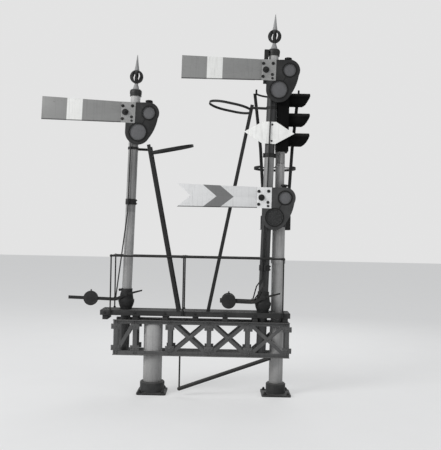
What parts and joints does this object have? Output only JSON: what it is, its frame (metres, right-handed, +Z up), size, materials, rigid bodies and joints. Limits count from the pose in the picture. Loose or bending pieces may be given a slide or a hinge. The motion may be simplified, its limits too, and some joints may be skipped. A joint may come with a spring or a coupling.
{
  "type": "railway signal gantry",
  "caption": "Latticed signal bridge on two columns with semaphore arms, lamps, balance levers, ladders, handrails and a colour-light head on its own post.",
  "frame": {"origin": "centre of the left column's foot flange, on its bottom face", "axes": "+X runs along the beam to the colour-light post, +Y away from the arms' faces, +Z up"},
  "size_m": [3.8625, 1.0549, 5.487],
  "materials": {
    "post_paint": "weathered grey paint on steel tube",
    "foot_iron": "near black cast iron with dust",
    "girder_paint": "dark grey weathered paint",
    "deck_timber": "bleached grey planks",
    "rail_paint": "dark paint, worn at the hand",
    "dark_paint": "near black paint with rust at edges",
    "finial_paint": "dark weathered paint",
    "arm_enamel": "enamel with a pale stripe",
    "spectacle_iron": "dark painted casting",
    "glass": "smoked glass roundel",
    "lamp_paint": "sooty black lamp case",
    "weight_iron": "cast weight, dusty",
    "diamond_white": "white plate",
    "head_paint": "matt black light unit"
  },
  "bodies": {
    "gantry": {"left_column": "post_paint", "right_column": "post_paint", "column_feet": "foot_iron", "front_girder": "girder_paint", "rear_girder": "girder_paint", "girder_plates": "girder_paint", "cross_bearers": "deck_timber", "deck_boards": "deck_timber", "edge_boards": "deck_timber", "front_handrail": "rail_paint", "rear_handrail": "rail_paint", "end_handrail": "rail_paint", "under_brace": "dark_paint", "left_doll": "post_paint", "right_doll": "post_paint", "left_doll_base": "foot_iron", "right_doll_base": "foot_iron", "left_finial": "finial_paint", "right_finial": "finial_paint", "left_rod_guide": "dark_paint", "right_rod_guide": "dark_paint", "diamond_plate": "diamond_white", "diamond_clamps": "dark_paint", "light_post": "post_paint", "light_head": "head_paint", "light_hoods": "head_paint", "light_lenses": "glass", "light_footplate": "dark_paint", "light_guard": "dark_paint", "light_hoop": "dark_paint", "left_ladder": "dark_paint", "left_ladder_hoop": "dark_paint", "right_ladder": "dark_paint", "right_ladder_hoop": "dark_paint", "ladder_stays": "dark_paint", "left_bearing": "dark_paint", "left_lamp": "lamp_paint", "home_bearing": "dark_paint", "home_lamp": "lamp_paint", "distant_bearing": "dark_paint", "distant_lamp": "lamp_paint"},
    "left_arm": {"left_arm_blade": "arm_enamel", "left_spectacle": "spectacle_iron", "left_glasses": "glass"},
    "left_rod": {"left_down_rod": "dark_paint"},
    "left_balance": {"left_lever": "dark_paint", "left_weight": "weight_iron"},
    "home_arm": {"home_arm_blade": "arm_enamel", "home_spectacle": "spectacle_iron", "home_glasses": "glass"},
    "home_rod": {"home_down_rod": "dark_paint"},
    "home_balance": {"home_lever": "dark_paint", "home_weight": "weight_iron"},
    "distant_arm": {"distant_arm_blade": "arm_enamel", "distant_spectacle": "spectacle_iron", "distant_glasses": "glass"},
    "distant_rod": {"distant_down_rod": "dark_paint"},
    "distant_balance": {"distant_lever": "dark_paint", "distant_weight": "weight_iron"}
  },
  "joints": [
    {"name": "left_arm_swing", "type": "hinge", "parent": "gantry", "child": "left_arm", "pos_m": [-0.45732, -0.1, 4.02826], "axis": [0, -1, 0], "range_deg": [0, 56]},
    {"name": "left_rod_lift", "type": "slide", "parent": "gantry", "child": "left_rod", "axis": [0.0253, 0, 0.9997], "range_m": [0, 0.103]},
    {"name": "left_balance_swing", "type": "hinge", "parent": "gantry", "child": "left_balance", "pos_m": [-0.39843, -0.106, 1.41493], "axis": [0, 1, 0], "range_deg": [0, 39.6]},
    {"name": "home_arm_swing", "type": "hinge", "parent": "gantry", "child": "home_arm", "pos_m": [1.54201, -0.17, 4.65965], "axis": [0, -1, 0], "range_deg": [0, 56]},
    {"name": "home_rod_lift", "type": "slide", "parent": "gantry", "child": "home_rod", "axis": [0.0234, 0, 0.9997], "range_m": [0, 0.103]},
    {"name": "home_balance_swing", "type": "hinge", "parent": "gantry", "child": "home_balance", "pos_m": [1.57714, 0.036, 1.41494], "axis": [0, 1, 0], "range_deg": [0, 39.6]},
    {"name": "distant_arm_swing", "type": "hinge", "parent": "gantry", "child": "distant_arm", "pos_m": [1.51645, -0.17, 2.83975], "axis": [0, -1, 0], "range_deg": [0, 56]},
    {"name": "distant_rod_lift", "type": "slide", "parent": "gantry", "child": "distant_rod", "axis": [0.0234, 0, 0.9997], "range_m": [0, 0.103]},
    {"name": "distant_balance_swing", "type": "hinge", "parent": "gantry", "child": "distant_balance", "pos_m": [1.57714, -0.176, 1.41494], "axis": [0, 1, 0], "range_deg": [0, 39.6]}
  ],
  "couplings": [
    {"joint": "left_rod_lift", "follows": "left_arm_swing", "m_per_rad": 0.10471},
    {"joint": "left_balance_swing", "follows": "left_arm_swing", "ratio": 0.70263},
    {"joint": "home_rod_lift", "follows": "home_arm_swing", "m_per_rad": 0.10471},
    {"joint": "home_balance_swing", "follows": "home_arm_swing", "ratio": 0.70263},
    {"joint": "distant_rod_lift", "follows": "distant_arm_swing", "m_per_rad": 0.10471},
    {"joint": "distant_balance_swing", "follows": "distant_arm_swing", "ratio": 0.70263}
  ]
}
